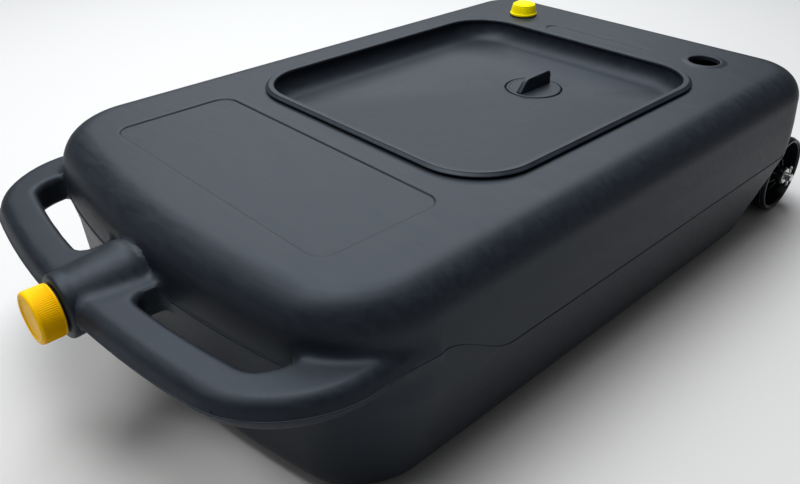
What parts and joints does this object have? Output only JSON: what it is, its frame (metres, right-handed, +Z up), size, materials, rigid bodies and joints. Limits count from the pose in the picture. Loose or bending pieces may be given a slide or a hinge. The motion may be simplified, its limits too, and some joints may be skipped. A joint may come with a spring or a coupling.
{
  "type": "oil drain pan",
  "caption": "Low rolling oil drain pan: hollow tank with a sunken drain tray and screw plug, pouring spout through the front grab handle, vent cap, open port, rear axle and wheels",
  "frame": {"origin": "On the floor at the middle of the whole object's footprint, with the tank lying flat", "axes": "+X is the right-hand side seen from the handle end, +Y points back from the handle to the wheels, +Z is up"},
  "size_m": [0.604, 1.091, 0.2575],
  "materials": {
    "tank_plastic": "satin blow-moulded polyethylene, anthracite, with faint flow marks and scuffs",
    "tray_plastic": "satin moulded polyethylene, anthracite, slightly smoother than the tank",
    "cap_plastic": "glossy yellow injection-moulded plastic, finely ribbed side",
    "wheel_plastic": "black moulded plastic, slightly glossy dish",
    "seal_rubber": "matt black oil-resistant rubber",
    "plated_steel": "zinc-plated steel"
  },
  "bodies": {
    "tank_body": {"tank_base_front": "tank_plastic", "tank_base_rear": "tank_plastic", "tank_top": "tank_plastic", "handle_left": "tank_plastic", "handle_right": "tank_plastic", "spout_neck": "tank_plastic", "vent_neck": "tank_plastic", "port_lip": "tank_plastic", "drain_tray": "tray_plastic", "tray_seal": "seal_rubber", "axle": "plated_steel", "outer_washer_left": "plated_steel", "outer_washer_right": "plated_steel", "inner_washer_left": "plated_steel", "inner_washer_right": "plated_steel", "split_pin_left": "plated_steel", "split_pin_right": "plated_steel", "axle_clip_left": "plated_steel", "axle_clip_right": "plated_steel", "clip_screw_upper_left": "plated_steel", "clip_screw_lower_left": "plated_steel", "clip_screw_upper_right": "plated_steel", "clip_screw_lower_right": "plated_steel"},
    "left_wheel": {"wheel_left": "wheel_plastic"},
    "right_wheel": {"wheel_right": "wheel_plastic"},
    "spout_liner": {"spout_cap_liner": "seal_rubber"},
    "spout_closure": {"spout_cap": "cap_plastic"},
    "vent_liner": {"vent_cap_liner": "seal_rubber"},
    "vent_closure": {"vent_cap": "cap_plastic"},
    "plug_seal": {"drain_plug_seal": "seal_rubber"},
    "plug": {"drain_plug": "tray_plastic"}
  },
  "joints": [
    {"name": "left_wheel_spin", "type": "hinge", "parent": "tank_body", "child": "left_wheel", "pos_m": [-0.265, 0.4865, 0.0605], "axis": [1, 0, 0], "continuous": true},
    {"name": "right_wheel_spin", "type": "hinge", "parent": "tank_body", "child": "right_wheel", "pos_m": [0.265, 0.4865, 0.0605], "axis": [1, 0, 0], "continuous": true},
    {"name": "spout_cap_travel", "type": "slide", "parent": "tank_body", "child": "spout_liner", "axis": [0, -1, 0], "range_m": [0, 0.024]},
    {"name": "spout_cap_turn", "type": "hinge", "parent": "spout_liner", "child": "spout_closure", "pos_m": [0, -0.533, 0.165], "axis": [0, -1, 0], "range_deg": [0, 1440]},
    {"name": "vent_cap_travel", "type": "slide", "parent": "tank_body", "child": "vent_liner", "axis": [0, 0, 1], "range_m": [0, 0.018]},
    {"name": "vent_cap_turn", "type": "hinge", "parent": "vent_liner", "child": "vent_closure", "pos_m": [-0.168, 0.39, 0.247], "axis": [0, 0, 1], "range_deg": [0, 1296]},
    {"name": "plug_travel", "type": "slide", "parent": "tank_body", "child": "plug_seal", "axis": [0, 0, 1], "range_m": [0, 0.018]},
    {"name": "plug_turn", "type": "hinge", "parent": "plug_seal", "child": "plug", "pos_m": [0, 0.21, 0.19], "axis": [0, 0, 1], "range_deg": [0, 1080]}
  ],
  "couplings": [
    {"joint": "spout_cap_travel", "follows": "spout_cap_turn", "m_per_rad": 0.00095493},
    {"joint": "vent_cap_travel", "follows": "vent_cap_turn", "m_per_rad": 0.00079577},
    {"joint": "plug_travel", "follows": "plug_turn", "m_per_rad": 0.00095493}
  ]
}
